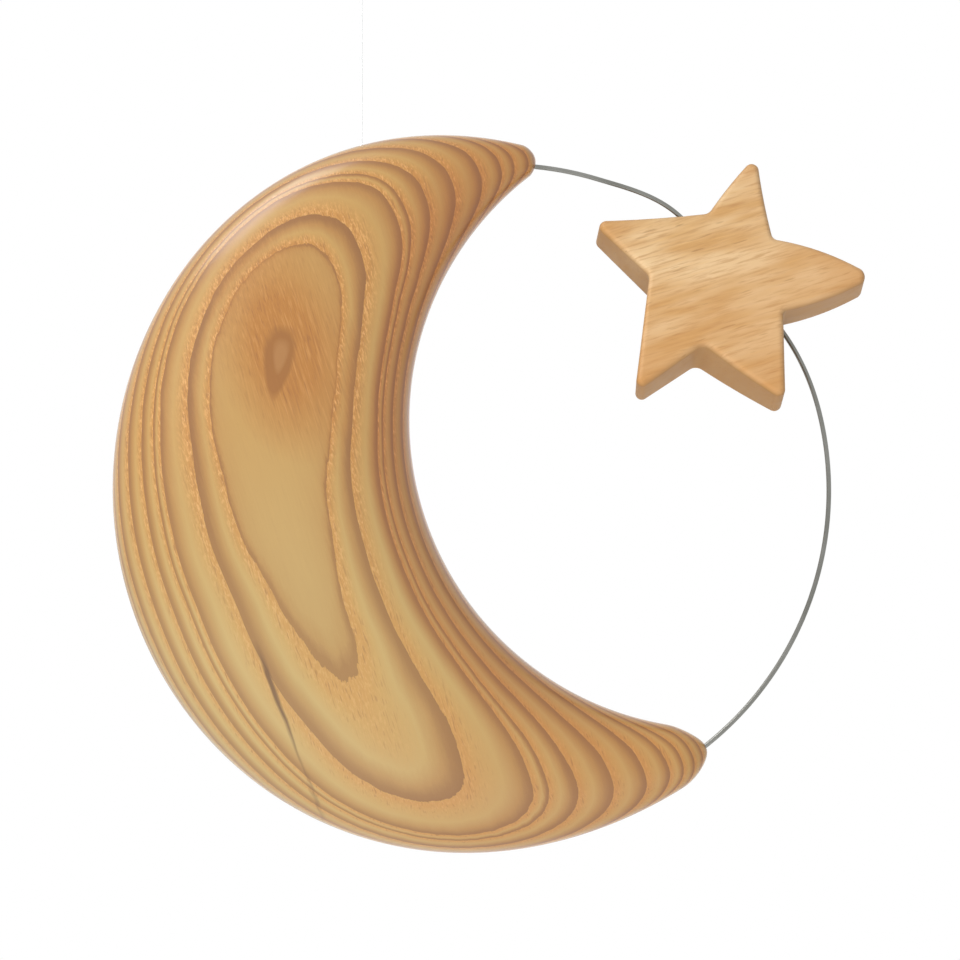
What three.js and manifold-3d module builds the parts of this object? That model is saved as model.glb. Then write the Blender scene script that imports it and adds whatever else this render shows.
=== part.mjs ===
// Moon and star hanging decoration. A crescent carved from solid ash has its two horns joined
// by a bowed steel wire that completes the circle, and a small ash star is threaded on the wire.
// It hangs on a clear nylon line that ends in a knotted loop.
// Millimetres, +Z up, +X to the right, the front facing -Y. The origin is the inside top of the
// loop, where the hook bears.

import * as THREE from 'three';
import { mergeVertices } from 'three/addons/utils/BufferGeometryUtils.js';
import Module from 'manifold-3d';

const degrees = Math.PI / 180;

// Moon, seen from the front. Its outer edge is a circle that hand sanding left a little oval,
// a little three-lobed and a little square. All its angles are counted from +X towards +Z.
const outerRadius = 75.9;
const outerOval = 1.9;
const outerOvalAngle = 158.7 * degrees;
const outerLobe = 1.7;
const outerLobeAngle = 117 * degrees;
const outerSquareness = 0.4;
const outerSquareAngle = 3 * degrees;

// The hollow is one arc, whose middle lies right of the moon's and a little higher.
const hollowRadius = 64.5;
const hollowDistance = 53;
const hollowAngle = 17.4 * degrees;

// Each horn ends where the crescent has narrowed to a width, in a round nose. The nose takes up
// an angle about the point midway between the two middles.
const upperHornWidth = 4.8;
const upperNoseAngle = 1.8 * degrees;
const lowerHornWidth = 8.7;
const lowerNoseAngle = 6.1 * degrees;

// Across the crescent the wood swells to a pillow, thickest where the crescent is widest.
const moonThickness = 26;
const thicknessPower = 0.66;
const pillowPower = 2.3;

// Spring wire, bowed from horn to horn, with a straight end glued into a hole in each nose. Its
// rise is how far the bow stands out from a straight line between the two holes.
const wireRadius = 0.5;
const wireBowRise = 42.4;
const wireSeatDepth = 11;
const wireHoleBottomGap = 0.3;
const wireClearance = 0.12;
const upperSeatInset = 1.7;
const lowerSeatInset = 0.4;

// Star, threaded on the wire at this angle about the middle of the wire's bow. Its hole is
// straight and a little wider than the wire, which lies flatter there, held at the hole's two
// mouths and middle. The star pushes the wire outwards at its upper mouth and inwards at its
// lower one, and on either side the wire eases back to its bow.
const starAngleOnWire = 43.5 * degrees;
const starHoleHalfLength = 16.2;
const starHoleClearance = 0.5;
const upperMouthStandOut = 0.16;
const lowerMouthStandOut = -0.89;
const wireEaseAngle = 16 * degrees;
const starThickness = 10;
const starEdgeRounding = 1.3;
const starHoleOffCentre = 4.51;
const starSlideOnHole = 2.98;
const starLeanBack = 20.3 * degrees;
const starTurn = 3 * degrees;

// Corners of the star's front face about its centre, tips and notches in turn: distance, angle,
// rounding radius, how far the side that follows bows out, and how far the corner has moved at
// the back face, because the star was sawn by hand and a little on the skew.
const starCorners = [
  { reach: 31.3, angle: 77.6, rounding: 1.5, bow: 0.2, backShift: [0, 0] },
  { reach: 17.3, angle: 102.7, rounding: 2.4, bow: -0.2, backShift: [0, 0] },
  { reach: 32.2, angle: 152.3, rounding: 1.5, bow: 0, backShift: [0, 0] },
  { reach: 17.2, angle: 169.5, rounding: 2.2, bow: 0, backShift: [3, -4.3] },
  { reach: 31.2, angle: 229.1, rounding: 1.3, bow: 0, backShift: [0, 0] },
  { reach: 13.8, angle: 245.3, rounding: 2.2, bow: 0.2, backShift: [-1.1, -1.8] },
  { reach: 27.7, angle: 292.9, rounding: 1.5, bow: 0, backShift: [0, 0] },
  { reach: 12.3, angle: 334.6, rounding: 1.2, bow: 0.6, backShift: [0, 0] },
  { reach: 32.5, angle: 4.9, rounding: 2.1, bow: 0.8, backShift: [0.4, 0.4] },
  { reach: 14.8, angle: 50.1, rounding: 1.6, bow: -0.2, backShift: [0, 0] },
];
const leastCornerRounding = 0.15;

// Nylon line: a knotted loop on top, a free stretch, and an end that is knotted and set in glue
// in a blind hole in the moon's top edge.
const lineRadius = 0.25;
const lineFreeLength = 36;
const loopHeight = 16;
const loopWidth = 5.2;
const loopLegSpacing = 1;
const loopShoulder = 5;
const knotHeight = 3;
const knotRadius = 1.1;
const knotTurns = 3;
const knotGroove = 0.12;
const knotBluntness = 0.6;
const softGap = 0.3;
const lineHoleLeftOfMiddle = 24;
const lineHoleRadius = 1.2;
const lineHoleDepth = 12;
const glueDepth = 1.2;
const glueLength = 7;
const glueClearance = 0.1;
const stopperRadius = 0.75;
const stopperHeight = 2;

// A drill runs this far past the wood that it leaves or enters.
const drillRunOut = 3;

// Facets, and the steps in which a place on the moon's outer edge is found.
const noseStations = 6;
const moonStations = 46;
const sectionPoints = 32;
const wireSides = 10;
const wireSteps = 72;
const holeSides = 16;
const cornerSteps = 5;
const sideSteps = 4;
const edgeSteps = 3;
const lineSides = 8;
const lineSteps = 24;
const loopSteps = 30;
const knotSteps = 18;
const stopperSteps = 8;
const walkSteps = 40;

const wasm = await Module();
wasm.setup();

function solidFrom(geometry) {
  const bare = geometry.clone();
  bare.deleteAttribute('normal');
  bare.deleteAttribute('uv');
  const merged = mergeVertices(bare, 1e-4);
  return new wasm.Manifold(new wasm.Mesh({
    numProp: 3,
    vertProperties: new Float32Array(merged.attributes.position.array),
    triVerts: new Uint32Array(merged.index.array),
  }));
}

function cutHoles(geometry, holes) {
  let solid = solidFrom(geometry);
  for (const hole of holes) {
    solid = solid.subtract(solidFrom(hole));
  }
  const mesh = solid.getMesh();
  const cut = new THREE.BufferGeometry();
  cut.setAttribute('position', new THREE.BufferAttribute(mesh.vertProperties, 3));
  cut.setIndex(new THREE.BufferAttribute(mesh.triVerts, 1));
  return cut;
}

// A round hole between two points. Its flats, not its corners, lie at the given radius.
function holeBetween(start, end, radius) {
  const cornerRadius = radius / Math.cos(Math.PI / holeSides);
  const length = start.distanceTo(end);
  const geometry = new THREE.CylinderGeometry(cornerRadius, cornerRadius, length, holeSides);
  const direction = end.clone().sub(start).normalize();
  const turn = new THREE.Quaternion().setFromUnitVectors(new THREE.Vector3(0, 1, 0), direction);
  const middle = start.clone().lerp(end, 0.5);
  return geometry.applyQuaternion(turn).translate(middle.x, middle.y, middle.z);
}

// A closed skin over rings of points, all of one length, with the given triangles closing its
// first ring and its last.
function skinOverRings(rings, firstCap, lastCap) {
  const count = rings[0].length;
  const triangles = firstCap.map(([a, b, c]) => [a, c, b]);
  for (let ring = 0; ring + 1 < rings.length; ring += 1) {
    for (let point = 0; point < count; point += 1) {
      const next = (point + 1) % count;
      const near = ring * count;
      const far = near + count;
      triangles.push([near + point, near + next, far + next]);
      triangles.push([near + point, far + next, far + point]);
    }
  }
  const lastRing = (rings.length - 1) * count;
  triangles.push(...lastCap.map((corners) => corners.map((corner) => corner + lastRing)));
  const geometry = new THREE.BufferGeometry();
  geometry.setFromPoints(rings.flat());
  geometry.setIndex(triangles.flat());
  return geometry;
}

function fanCap(count) {
  return Array.from({ length: count - 2 }, (_, index) => [0, index + 1, index + 2]);
}

// Moon. Its places are counted from the middle of its outer circle.

function directionAt(angle) {
  return new THREE.Vector3(Math.cos(angle), 0, Math.sin(angle));
}

function outerEdgeRadius(angle) {
  const oval = outerOval * Math.cos(2 * (angle - outerOvalAngle));
  const lobe = outerLobe * Math.cos(3 * (angle - outerLobeAngle));
  const square = outerSquareness * Math.cos(4 * (angle - outerSquareAngle));
  return outerRadius + oval + lobe + square;
}

const hollowMiddle = directionAt(hollowAngle).multiplyScalar(hollowDistance);
const stationMiddle = hollowMiddle.clone().multiplyScalar(0.5);

// Where a ray from the station middle meets the hollow's arc.
function distanceToHollow(direction) {
  const offset = stationMiddle.clone().sub(hollowMiddle);
  const along = offset.dot(direction);
  return -along + Math.sqrt(along ** 2 - offset.lengthSq() + hollowRadius ** 2);
}

// Where it meets the outer edge, found by walking on by what is left.
function distanceToOuterEdge(direction) {
  let distance = outerRadius;
  for (let step = 0; step < walkSteps; step += 1) {
    const point = stationMiddle.clone().addScaledVector(direction, distance);
    distance += outerEdgeRadius(Math.atan2(point.z, point.x)) - point.length();
  }
  return distance;
}

function crescentAt(angle) {
  const direction = directionAt(angle);
  const inner = distanceToHollow(direction);
  const outer = distanceToOuterEdge(direction);
  const middle = stationMiddle.clone().addScaledVector(direction, (inner + outer) / 2);
  return { direction, middle, halfWidth: (outer - inner) / 2 };
}

const widestAngle = hollowAngle + Math.PI;
const widestHalfWidth = crescentAt(widestAngle).halfWidth;

// The angle at which the crescent has narrowed to a width, between its widest place and the
// angle given, found by halving.
function angleOfWidth(width, beyond) {
  let wide = widestAngle;
  let narrow = beyond;
  for (let step = 0; step < walkSteps; step += 1) {
    const middle = (wide + narrow) / 2;
    if (crescentAt(middle).halfWidth * 2 > width) {
      wide = middle;
    } else {
      narrow = middle;
    }
  }
  return narrow;
}

const upperHornAngle = angleOfWidth(upperHornWidth, hollowAngle);
const lowerHornAngle = angleOfWidth(lowerHornWidth, hollowAngle + 2 * Math.PI);

// A circle swelled towards a rounded square by the pillow power.
function swelled(value) {
  return Math.sign(value) * Math.abs(value) ** (2 / pillowPower);
}

function moonSection(angle, scale) {
  const { direction, middle, halfWidth } = crescentAt(angle);
  const halfThickness = moonThickness / 2 * (halfWidth / widestHalfWidth) ** thicknessPower;
  return Array.from({ length: sectionPoints }, (_, index) => {
    const turn = index / sectionPoints * 2 * Math.PI;
    const across = swelled(Math.cos(turn)) * halfWidth * scale;
    const point = middle.clone().addScaledVector(direction, across);
    return point.setY(swelled(Math.sin(turn)) * halfThickness * scale);
  });
}

// The sections of one nose, from its end to where the horn has its full girth.
function noseSections(hornAngle, noseAngle) {
  return Array.from({ length: noseStations }, (_, index) => {
    const turn = (index + 1) / noseStations * Math.PI / 2;
    return moonSection(hornAngle + noseAngle * (1 - Math.cos(turn)), Math.sin(turn));
  });
}

function moonGeometry() {
  const rings = noseSections(upperHornAngle, upperNoseAngle);
  const first = upperHornAngle + upperNoseAngle;
  const last = lowerHornAngle - lowerNoseAngle;
  for (let station = 1; station < moonStations; station += 1) {
    rings.push(moonSection(first + (last - first) * station / moonStations, 1));
  }
  rings.push(...noseSections(lowerHornAngle, -lowerNoseAngle).reverse());
  return skinOverRings(rings, fanCap(sectionPoints), fanCap(sectionPoints));
}

// Wire. Its bow is a circle through the two seats in the noses.

function wireSeat(hornAngle, inset) {
  return crescentAt(hornAngle).middle.addScaledVector(directionAt(hornAngle), -inset);
}

const upperSeat = wireSeat(upperHornAngle, upperSeatInset);
const lowerSeat = wireSeat(lowerHornAngle, lowerSeatInset);

const chord = lowerSeat.clone().sub(upperSeat);
const wireBowRadius = (chord.lengthSq() / 4 + wireBowRise ** 2) / (2 * wireBowRise);
const towardsMoon = new THREE.Vector3(chord.z, 0, -chord.x).normalize();
const bowMiddle = upperSeat.clone().lerp(lowerSeat, 0.5)
  .addScaledVector(towardsMoon, wireBowRadius - wireBowRise);

function angleOnBow(point) {
  return Math.atan2(point.z - bowMiddle.z, point.x - bowMiddle.x);
}

const upperSeatAngle = angleOnBow(upperSeat);
const lowerSeatAngle = angleOnBow(lowerSeat);

// The hole's two mouths, and the line between them, which the wire in the star bows out from
// as far as the hole lets it.
const mouthAngle = Math.asin(starHoleHalfLength / wireBowRadius);

function mouthAt(side, standOut) {
  return bowMiddle.clone().addScaledVector(
    directionAt(starAngleOnWire + side * mouthAngle), wireBowRadius + standOut);
}

const upperMouth = mouthAt(1, upperMouthStandOut);
const lowerMouth = mouthAt(-1, lowerMouthStandOut);
const holeDirection = lowerMouth.clone().sub(upperMouth).normalize();
const outOfRing = new THREE.Vector3(-holeDirection.z, 0, holeDirection.x);
const riseInStar = 2 * (starHoleClearance - wireClearance);
const starHoleMiddle = upperMouth.clone().lerp(lowerMouth, 0.5)
  .addScaledVector(outOfRing, riseInStar / 2);

// How steeply the wire leaves a mouth, against a circle about the middle of its bow.
const endSlopeInStar = Math.atan(2 * riseInStar / starHoleHalfLength);
const holeTilt = Math.atan((upperMouthStandOut - lowerMouthStandOut) / (2 * starHoleHalfLength));

// The wire's place at an angle about the middle of its bow: in the star, or easing back to the
// bow on one side of it.
function wirePointAt(angle) {
  const turn = angle - starAngleOnWire;
  if (Math.abs(turn) <= mouthAngle) {
    const share = (1 - turn / mouthAngle) / 2;
    return upperMouth.clone().lerp(lowerMouth, share)
      .addScaledVector(outOfRing, riseInStar * 4 * share * (1 - share));
  }
  const side = Math.sign(turn);
  const standOut = side > 0 ? upperMouthStandOut : lowerMouthStandOut;
  const slope = wireBowRadius * Math.tan(mouthAngle - endSlopeInStar + side * holeTilt);
  const share = Math.min((Math.abs(turn) - mouthAngle) / wireEaseAngle, 1);
  const held = standOut * (1 + 2 * share) + slope * wireEaseAngle * share;
  return bowMiddle.clone().addScaledVector(
    directionAt(angle), wireBowRadius + held * (1 - share) ** 2);
}

// The buried ends run on straight from the bow.
const upperSeatDirection = directionAt(upperSeatAngle + Math.PI / 2);
const lowerSeatDirection = directionAt(lowerSeatAngle - Math.PI / 2);

class WirePath extends THREE.Curve {
  getPoint(share) {
    const bowLength = (upperSeatAngle - lowerSeatAngle) * wireBowRadius;
    const place = share * (bowLength + 2 * wireSeatDepth) - wireSeatDepth;
    if (place < 0) {
      return upperSeat.clone().addScaledVector(upperSeatDirection, -place);
    }
    if (place > bowLength) {
      return lowerSeat.clone().addScaledVector(lowerSeatDirection, place - bowLength);
    }
    return wirePointAt(upperSeatAngle - place / wireBowRadius);
  }
}

function tubeAlong(path, radius, sides, steps) {
  const corners = Array.from({ length: sides }, (_, index) => (
    new THREE.Vector2(radius, 0).rotateAround(new THREE.Vector2(), index / sides * 2 * Math.PI)));
  const section = new THREE.Shape(corners);
  return new THREE.ExtrudeGeometry(section, { steps, extrudePath: path });
}

function wireHole(seat, direction) {
  const outside = seat.clone().addScaledVector(direction, -drillRunOut);
  const bottom = seat.clone().addScaledVector(direction, wireSeatDepth + wireHoleBottomGap);
  return holeBetween(outside, bottom, wireRadius + wireClearance);
}

// Line. Its places are counted from the origin, down the line.

const knotTop = -loopHeight - softGap;
const knotBottom = knotTop - knotHeight;
const lineTop = knotBottom - softGap;
const lineBottom = lineTop - lineFreeLength;
const holeMouth = lineBottom - softGap;

function loopPath() {
  const arch = loopWidth / 2;
  const archMiddle = lineRadius - arch;
  const side = (sign) => [
    new THREE.Vector3(sign * loopLegSpacing / 2, 0, -loopHeight),
    new THREE.Vector3(sign * loopLegSpacing / 2, 0, -loopHeight + loopShoulder),
    new THREE.Vector3(sign * arch, 0, archMiddle - loopShoulder),
    new THREE.Vector3(sign * arch, 0, archMiddle),
  ];
  const top = new THREE.Vector3(0, 0, archMiddle + arch);
  const handle = 4 / 3 * (Math.SQRT2 - 1) * arch;
  const quarter = (sign) => [
    new THREE.Vector3(sign * arch, 0, archMiddle),
    new THREE.Vector3(sign * arch, 0, archMiddle + handle),
    new THREE.Vector3(sign * handle, 0, top.z),
    top,
  ];
  const path = new THREE.CurvePath();
  path.add(new THREE.CubicBezierCurve3(...side(-1)));
  path.add(new THREE.CubicBezierCurve3(...quarter(-1)));
  path.add(new THREE.CubicBezierCurve3(...quarter(1).reverse()));
  path.add(new THREE.CubicBezierCurve3(...side(1).reverse()));
  return path;
}

// Lathe profiles are turned about Y, then stood up along Z.
function turned(profile, sides) {
  return new THREE.LatheGeometry(profile, sides).rotateX(Math.PI / 2);
}

// The wraps of the knot show as rounded rings.
function knotGeometry() {
  const profile = Array.from({ length: knotSteps + 1 }, (_, step) => {
    const turn = (step / knotSteps - 0.5) * Math.PI;
    const wrap = 1 - knotGroove * (1 + Math.cos(knotTurns * 2 * turn)) / 2;
    const middle = (knotTop + knotBottom) / 2;
    const radius = knotRadius * Math.cos(turn) ** knotBluntness * wrap;
    return new THREE.Vector2(radius, middle + knotHeight / 2 * Math.sin(turn));
  });
  profile[0].x = 0;
  profile[knotSteps].x = 0;
  return turned(profile, holeSides);
}

const glueTop = holeMouth - glueDepth;
const glueBottom = glueTop - glueLength;
const stopperTop = glueBottom - softGap;

function lineEndGeometry() {
  const profile = [new THREE.Vector2(0, stopperTop - stopperHeight)];
  for (let step = 1; step < stopperSteps; step += 1) {
    const turn = step / stopperSteps * Math.PI;
    const radius = Math.max(stopperRadius * Math.sin(turn), lineRadius);
    const height = stopperTop - stopperHeight * (1 + Math.cos(turn)) / 2;
    profile.push(new THREE.Vector2(radius, height));
  }
  profile.push(new THREE.Vector2(lineRadius, holeMouth));
  profile.push(new THREE.Vector2(0, holeMouth));
  return turned(profile, lineSides);
}

function glueGeometry() {
  const inner = (lineRadius + glueClearance) / Math.cos(Math.PI / holeSides);
  const outer = lineHoleRadius - glueClearance;
  const profile = [
    new THREE.Vector2(inner, glueBottom),
    new THREE.Vector2(outer, glueBottom),
    new THREE.Vector2(outer, glueTop),
    new THREE.Vector2(inner, glueTop),
    new THREE.Vector2(inner, glueBottom),
  ];
  return turned(profile, holeSides);
}

// The moon's outer edge straight above a place left of its middle.
function outerEdgeAbove(left) {
  let angle = Math.PI / 2;
  for (let step = 0; step < walkSteps; step += 1) {
    angle = Math.acos(-left / outerEdgeRadius(angle));
  }
  return outerEdgeRadius(angle) * Math.sin(angle);
}

const lineHoleMouth = new THREE.Vector3(
  -lineHoleLeftOfMiddle, 0, outerEdgeAbove(lineHoleLeftOfMiddle));

function lineHole() {
  const top = lineHoleMouth.clone().setZ(lineHoleMouth.z + drillRunOut);
  const bottom = lineHoleMouth.clone().setZ(lineHoleMouth.z - lineHoleDepth);
  return holeBetween(top, bottom, lineHoleRadius);
}

// Star. Its outline lies in X and Y about its own centre, with the front face towards +Z.

function starCornersAt(depthShare, inset) {
  const corners = starCorners.map(({ reach, angle, backShift }) => new THREE.Vector2(
    reach * Math.cos(angle * degrees) + backShift[0] * depthShare,
    reach * Math.sin(angle * degrees) + backShift[1] * depthShare));
  const count = corners.length;
  return corners.map((corner, index) => {
    const into = corner.clone().sub(corners[(index + count - 1) % count]).normalize();
    const out = corners[(index + 1) % count].clone().sub(corner).normalize();
    const squareToOut = new THREE.Vector2(-out.y, out.x);
    const inward = new THREE.Vector2(-into.y, into.x).add(squareToOut).normalize();
    return corner.clone().addScaledVector(inward, inset / inward.dot(squareToOut));
  });
}

// The points along a side, between the ends of the two corners' arcs.
function sidePoints(start, end, bow) {
  const outwards = new THREE.Vector2(end.y - start.y, start.x - end.x).normalize();
  return Array.from({ length: sideSteps - 1 }, (_, index) => {
    const share = (index + 1) / sideSteps;
    const rise = bow * 4 * share * (1 - share);
    return start.clone().lerp(end, share).addScaledVector(outwards, rise);
  });
}

// The corners, each rounded by an arc, tips outwards and notches inwards, and the sides between.
function starOutline(depthShare, inset) {
  const corners = starCornersAt(depthShare, inset);
  const count = corners.length;
  const arcs = corners.map((corner, index) => {
    const before = corners[(index + count - 1) % count].clone().sub(corner).normalize();
    const after = corners[(index + 1) % count].clone().sub(corner).normalize();
    const halfAngle = Math.acos(before.dot(after)) / 2;
    const isTip = index % 2 === 0;
    const wanted = starCorners[index].rounding + (isTip ? -inset : inset);
    const rounding = Math.max(wanted, leastCornerRounding);
    const inwards = before.clone().add(after).normalize();
    const middle = corner.clone().addScaledVector(inwards, rounding / Math.sin(halfAngle));
    const start = corner.clone().addScaledVector(before, rounding / Math.tan(halfAngle));
    const sweep = (Math.PI - 2 * halfAngle) * (isTip ? 1 : -1);
    return Array.from({ length: cornerSteps + 1 }, (_, step) => (
      start.clone().rotateAround(middle, sweep * step / cornerSteps)));
  });
  return arcs.flatMap((arc, index) => {
    const [next] = arcs[(index + 1) % count];
    return [...arc, ...sidePoints(arc[cornerSteps], next, starCorners[index].bow)];
  });
}

function starGeometry() {
  const rings = [];
  const addRing = (height, inset) => {
    const depthShare = 0.5 - height / starThickness;
    const outline = starOutline(depthShare, inset);
    rings.push(outline.map((point) => new THREE.Vector3(point.x, point.y, height)));
  };
  for (let step = 0; step <= edgeSteps; step += 1) {
    const turn = step / edgeSteps * Math.PI / 2;
    const up = starEdgeRounding * (1 - Math.cos(turn));
    addRing(up - starThickness / 2, starEdgeRounding * (1 - Math.sin(turn)));
  }
  for (let step = edgeSteps; step >= 0; step -= 1) {
    const turn = step / edgeSteps * Math.PI / 2;
    const down = starEdgeRounding * (1 - Math.cos(turn));
    addRing(starThickness / 2 - down, starEdgeRounding * (1 - Math.sin(turn)));
  }
  const back = THREE.ShapeUtils.triangulateShape(starOutline(1, starEdgeRounding), []);
  const front = THREE.ShapeUtils.triangulateShape(starOutline(0, starEdgeRounding), []);
  return skinOverRings(rings, back, front);
}

// The star's group lies at the middle of its hole, with the wire running through it.
function placeOnWire(star) {
  star.position.copy(starHoleMiddle);
  star.rotation.set(Math.PI / 2 - starLeanBack, 0, starTurn, 'ZYX');
}

function holeDirectionInStar() {
  const placed = new THREE.Group();
  placeOnWire(placed);
  return holeDirection.clone().applyQuaternion(placed.quaternion.clone().invert());
}

function drilledStarGeometry() {
  const direction = holeDirectionInStar();
  const along = new THREE.Vector2(direction.x, direction.y).normalize();
  const across = new THREE.Vector2(-along.y, along.x);
  const centre = along.multiplyScalar(starSlideOnHole).addScaledVector(across, -starHoleOffCentre);
  const drilled = direction.clone().multiplyScalar(starHoleHalfLength + drillRunOut);
  const hole = holeBetween(drilled.clone().negate(), drilled, wireRadius + starHoleClearance);
  return cutHoles(starGeometry().translate(centre.x, centre.y, 0), [hole]);
}

function material(color, roughness, metalness) {
  return new THREE.MeshStandardMaterial({ color, roughness, metalness });
}

const ash = material(0xc89a66, 0.55, 0);
const paleAsh = material(0xe1b67c, 0.6, 0);
const steel = material(0x8a8a86, 0.35, 1);
const nylon = material(0xe9edf0, 0.25, 0);
const glue = material(0xd9c48f, 0.4, 0);

function named(name, geometry, finish) {
  const mesh = new THREE.Mesh(geometry, finish);
  mesh.name = name;
  return mesh;
}

const holes = [
  wireHole(upperSeat, upperSeatDirection),
  wireHole(lowerSeat, lowerSeatDirection),
  lineHole(),
];

const star = new THREE.Group();
placeOnWire(star);
star.add(named('star', drilledStarGeometry(), paleAsh));

const ring = new THREE.Group();
ring.position.set(lineHoleLeftOfMiddle, 0, holeMouth - lineHoleMouth.z);
ring.add(named('moon_body', cutHoles(moonGeometry(), holes), ash));
ring.add(named('wire_arc', tubeAlong(new WirePath(), wireRadius, wireSides, wireSteps), steel));
ring.add(star);

const freeLine = new THREE.LineCurve3(
  new THREE.Vector3(0, 0, lineTop), new THREE.Vector3(0, 0, lineBottom));

const decoration = new THREE.Group();
decoration.add(ring);
decoration.add(named('hanging_loop', tubeAlong(loopPath(), lineRadius, lineSides, loopSteps), nylon));
decoration.add(named('loop_knot', knotGeometry(), nylon));
decoration.add(named('hanging_line', tubeAlong(freeLine, lineRadius, lineSides, lineSteps), nylon));
decoration.add(named('line_end', lineEndGeometry(), nylon));
decoration.add(named('glue_plug', glueGeometry(), glue));

export default decoration;
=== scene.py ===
# Moon and star hanging decoration: a carved ash crescent, a bowed spring wire between its
# horns, an ash star threaded on the wire, and the clear line that the moon hangs on.
# Metres, +Z up, the front facing -Y, and the origin where a hook bears on the line's loop.
import math

import bmesh
import bpy
from mathutils import Matrix, Vector


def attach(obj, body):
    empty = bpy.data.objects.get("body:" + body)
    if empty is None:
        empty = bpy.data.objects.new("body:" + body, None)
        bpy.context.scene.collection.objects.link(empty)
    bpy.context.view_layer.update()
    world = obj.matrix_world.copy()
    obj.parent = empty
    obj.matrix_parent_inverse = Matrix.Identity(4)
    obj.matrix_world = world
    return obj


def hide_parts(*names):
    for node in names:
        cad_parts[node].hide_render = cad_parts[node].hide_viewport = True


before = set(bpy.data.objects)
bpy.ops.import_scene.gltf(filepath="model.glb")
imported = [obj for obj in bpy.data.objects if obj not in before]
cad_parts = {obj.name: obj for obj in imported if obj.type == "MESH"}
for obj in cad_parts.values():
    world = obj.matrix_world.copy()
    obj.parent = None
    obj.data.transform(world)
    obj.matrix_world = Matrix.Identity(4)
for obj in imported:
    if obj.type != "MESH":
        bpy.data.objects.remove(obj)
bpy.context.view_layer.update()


# Camera. It stands level with the middle of the decoration, far enough away for the photo's
# nearly flat view. The view's width is that of the square it sees at the plane of the wire.
camera_place = Vector((0.02483, -1.0, -0.12594))
view_width = 0.2009
sensor_width = 36.0

camera_data = bpy.data.cameras.new("camera")
camera_data.sensor_width = sensor_width
camera_data.lens = sensor_width * abs(camera_place.y) / view_width
camera = bpy.data.objects.new("camera", camera_data)
camera.location = camera_place
camera.rotation_euler = (math.pi / 2, 0, 0)
bpy.context.scene.collection.objects.link(camera)
bpy.context.scene.camera = camera
bpy.context.scene.view_settings.view_transform = "Standard"


# Nylon line. It is one length of clear half-millimetre monofilament, tied at the top in a loop
# for a hook, with a wrapped knot under it. The free stretch is taut between the knot and the
# hole in the moon's top edge, where its end is set in glue.
mm = 0.001
line_radius = 0.25 * mm
line_roundness = 4
line_top = -19.2 * mm
line_bottom = -55.9 * mm
line_points = 25
loop_bottom = -16.4 * mm
loop_leg_spacing = 1 * mm
loop_shoulder = 5 * mm
loop_arch = 2.6 * mm
loop_steps = 16
knot_middle = -17.8 * mm
knot_wrap_radius = 0.78 * mm
knot_strand_radius = 0.29 * mm
knot_strand_sides = 14
knot_wraps = 4
knot_wrap_steps = 28
knot_pitch = 0.58 * mm
knot_core_radius = 0.62 * mm
knot_core_length = 2.9 * mm
knot_core_sides = 24
knot_sharp_angle = math.radians(50)
noise_low = 0.3
noise_middle = 0.5
noise_high = 0.7
nylon_colour = (0.86, 0.875, 0.875)
nylon_refraction = 1.53
nylon_clearness = 0.9
nylon_streak_scale = 2600
nylon_streak_stretch = (1, 1, 6)
nylon_roughness = (0.06, 0.16)
nylon_relief = 0.01 * mm


def new_material(name):
    material = bpy.data.materials.new(name)
    material.use_nodes = True
    return material, material.node_tree, material.node_tree.nodes["Principled BSDF"]


def feed(tree, socket, value):
    if isinstance(value, bpy.types.NodeSocket):
        tree.links.new(value, socket)
    elif hasattr(socket.default_value, "__len__") and len(socket.default_value) > len(value):
        socket.default_value = (*value, 1.0)
    else:
        socket.default_value = value


def maths(tree, operation, *values, limited=False):
    step = tree.nodes.new("ShaderNodeMath")
    step.operation = operation
    step.use_clamp = limited
    for socket, value in zip(step.inputs, values):
        feed(tree, socket, value)
    return step.outputs["Value"]


def object_place(tree):
    return tree.nodes.new("ShaderNodeTexCoord").outputs["Object"]


def turned_place(tree, middle=(0, 0, 0), turn=(0, 0, 0), stretch=(1, 1, 1)):
    # Object coordinates about a middle, turned, and stretched along the turned axes.
    mapping = tree.nodes.new("ShaderNodeMapping")
    mapping.vector_type = "TEXTURE"
    feed(tree, mapping.inputs["Vector"], object_place(tree))
    feed(tree, mapping.inputs["Location"], middle)
    feed(tree, mapping.inputs["Rotation"], turn)
    feed(tree, mapping.inputs["Scale"], stretch)
    return mapping.outputs["Vector"]


def noise(tree, place, scale, detail=2.0, roughness=0.5):
    texture = tree.nodes.new("ShaderNodeTexNoise")
    feed(tree, texture.inputs["Vector"], place)
    feed(tree, texture.inputs["Scale"], scale)
    feed(tree, texture.inputs["Detail"], detail)
    feed(tree, texture.inputs["Roughness"], roughness)
    return texture.outputs["Fac"]


def spread(tree, value, low, high, start=0.0, end=1.0):
    # Carries low..high over to start..end, and stops there.
    step = tree.nodes.new("ShaderNodeMapRange")
    feed(tree, step.inputs["Value"], value)
    feed(tree, step.inputs["From Min"], low)
    feed(tree, step.inputs["From Max"], high)
    feed(tree, step.inputs["To Min"], start)
    feed(tree, step.inputs["To Max"], end)
    return step.outputs["Result"]


def finish_surface(tree, shader, texture, roughness, height, relief):
    # The roughness goes from one value to the other over the stretch where a noise mostly lies.
    rough = spread(tree, texture, noise_low, noise_high, *roughness)
    feed(tree, shader.inputs["Roughness"], rough)
    bump = tree.nodes.new("ShaderNodeBump")
    feed(tree, bump.inputs["Height"], height)
    feed(tree, bump.inputs["Distance"], relief)
    feed(tree, shader.inputs["Normal"], bump.outputs["Normal"])


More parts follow.
